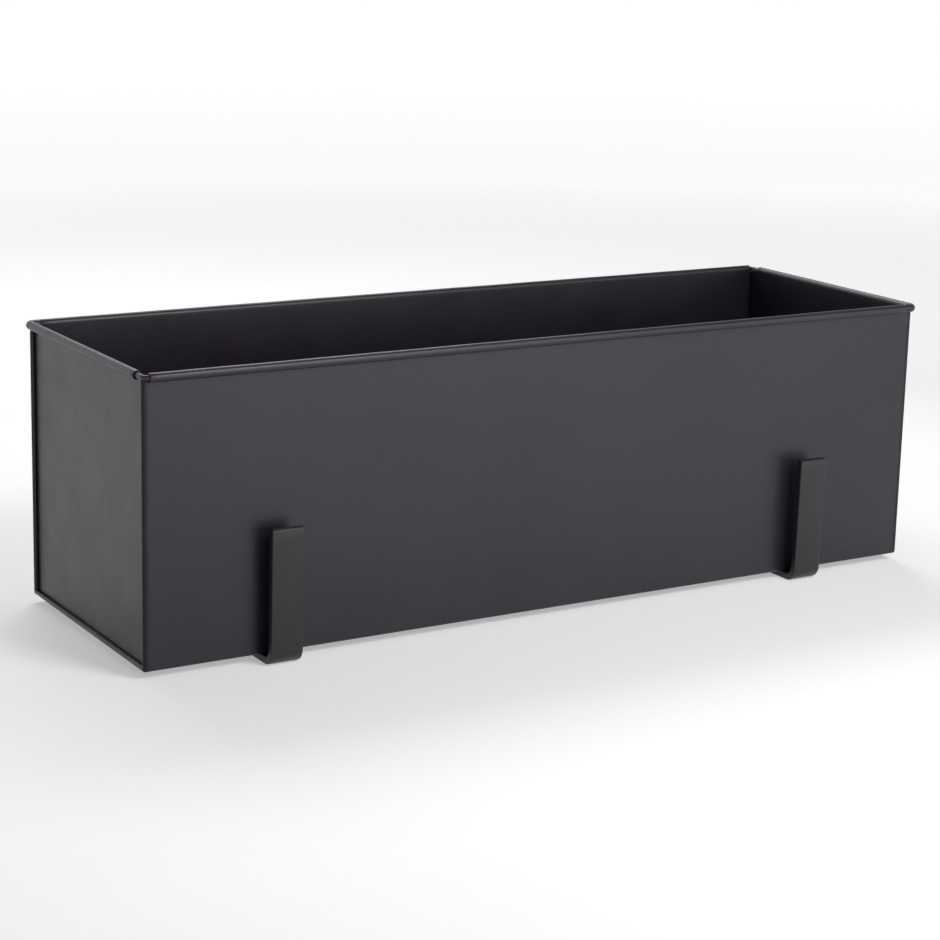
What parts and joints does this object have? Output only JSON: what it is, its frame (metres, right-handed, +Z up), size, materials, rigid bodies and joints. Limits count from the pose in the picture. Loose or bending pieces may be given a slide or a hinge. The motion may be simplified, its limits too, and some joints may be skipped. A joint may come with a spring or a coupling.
{
  "type": "window box planter",
  "caption": "Rectangular sheet-metal window box with a wired rim, standing in bent flat-bar brackets with adjustable rail hooks.",
  "frame": {"origin": "on the ground plane under the brackets' feet, at the middle of the whole object's footprint", "axes": "+X along the box towards its right end, +Y towards the rail side, +Z up; the front wall faces -Y"},
  "size_m": [0.5998, 0.2704, 0.191],
  "materials": {
    "box_coat": "satin anthracite powder coat",
    "bracket_coat": "satin black powder coat",
    "zinc_plate": "bright zinc plating"
  },
  "bodies": {
    "left_bracket": {"left_cradle": "bracket_coat", "left_lower_bolt": "zinc_plate", "left_upper_bolt": "zinc_plate"},
    "planter": {"trough": "box_coat", "left_end_panel": "box_coat", "right_end_panel": "box_coat", "rim_wire": "box_coat"},
    "right_bracket": {"right_cradle": "bracket_coat", "right_lower_bolt": "zinc_plate", "right_upper_bolt": "zinc_plate"},
    "left_hook": {"left_rail_hook": "bracket_coat"},
    "right_hook": {"right_rail_hook": "bracket_coat"},
    "left_lower_washer": {"left_lower_washer": "zinc_plate"},
    "left_lower_nut": {"left_lower_wing_nut": "zinc_plate"},
    "left_upper_washer": {"left_upper_washer": "zinc_plate"},
    "left_upper_nut": {"left_upper_wing_nut": "zinc_plate"},
    "right_lower_washer": {"right_lower_washer": "zinc_plate"},
    "right_lower_nut": {"right_lower_wing_nut": "zinc_plate"},
    "right_upper_washer": {"right_upper_washer": "zinc_plate"},
    "right_upper_nut": {"right_upper_wing_nut": "zinc_plate"}
  },
  "joints": [
    {"name": "planter_lift", "type": "slide", "parent": "left_bracket", "child": "planter", "axis": [0, 0, 1], "range_m": [0, 0.2]},
    {"name": "bracket_spacing", "type": "slide", "parent": "left_bracket", "child": "right_bracket", "axis": [1, 0, 0], "range_m": [-0.15, 0.07]},
    {"name": "left_hook_height", "type": "slide", "parent": "left_bracket", "child": "left_hook", "axis": [0, 0, 1], "range_m": [-0.011, 0.011]},
    {"name": "right_hook_height", "type": "slide", "parent": "right_bracket", "child": "right_hook", "axis": [0, 0, 1], "range_m": [-0.011, 0.011]},
    {"name": "left_lower_washer_slide", "type": "slide", "parent": "left_bracket", "child": "left_lower_washer", "axis": [0, 1, 0], "range_m": [0, 0.003]},
    {"name": "left_lower_nut_turn", "type": "hinge", "parent": "left_lower_washer", "child": "left_lower_nut", "pos_m": [-0.207, 0.08304, 0.052], "axis": [0, 1, 0], "range_deg": [0, 1080]},
    {"name": "left_upper_washer_slide", "type": "slide", "parent": "left_bracket", "child": "left_upper_washer", "axis": [0, 1, 0], "range_m": [0, 0.003]},
    {"name": "left_upper_nut_turn", "type": "hinge", "parent": "left_upper_washer", "child": "left_upper_nut", "pos_m": [-0.207, 0.08304, 0.092], "axis": [0, 1, 0], "range_deg": [0, 1080]},
    {"name": "right_lower_washer_slide", "type": "slide", "parent": "right_bracket", "child": "right_lower_washer", "axis": [0, 1, 0], "range_m": [0, 0.003]},
    {"name": "right_lower_nut_turn", "type": "hinge", "parent": "right_lower_washer", "child": "right_lower_nut", "pos_m": [0.204, 0.08304, 0.052], "axis": [0, 1, 0], "range_deg": [0, 1080]},
    {"name": "right_upper_washer_slide", "type": "slide", "parent": "right_bracket", "child": "right_upper_washer", "axis": [0, 1, 0], "range_m": [0, 0.003]},
    {"name": "right_upper_nut_turn", "type": "hinge", "parent": "right_upper_washer", "child": "right_upper_nut", "pos_m": [0.204, 0.08304, 0.092], "axis": [0, 1, 0], "range_deg": [0, 1080]}
  ],
  "couplings": [
    {"joint": "left_lower_washer_slide", "follows": "left_lower_nut_turn", "m_per_rad": 0.00015915},
    {"joint": "left_upper_washer_slide", "follows": "left_upper_nut_turn", "m_per_rad": 0.00015915},
    {"joint": "right_lower_washer_slide", "follows": "right_lower_nut_turn", "m_per_rad": 0.00015915},
    {"joint": "right_upper_washer_slide", "follows": "right_upper_nut_turn", "m_per_rad": 0.00015915}
  ]
}
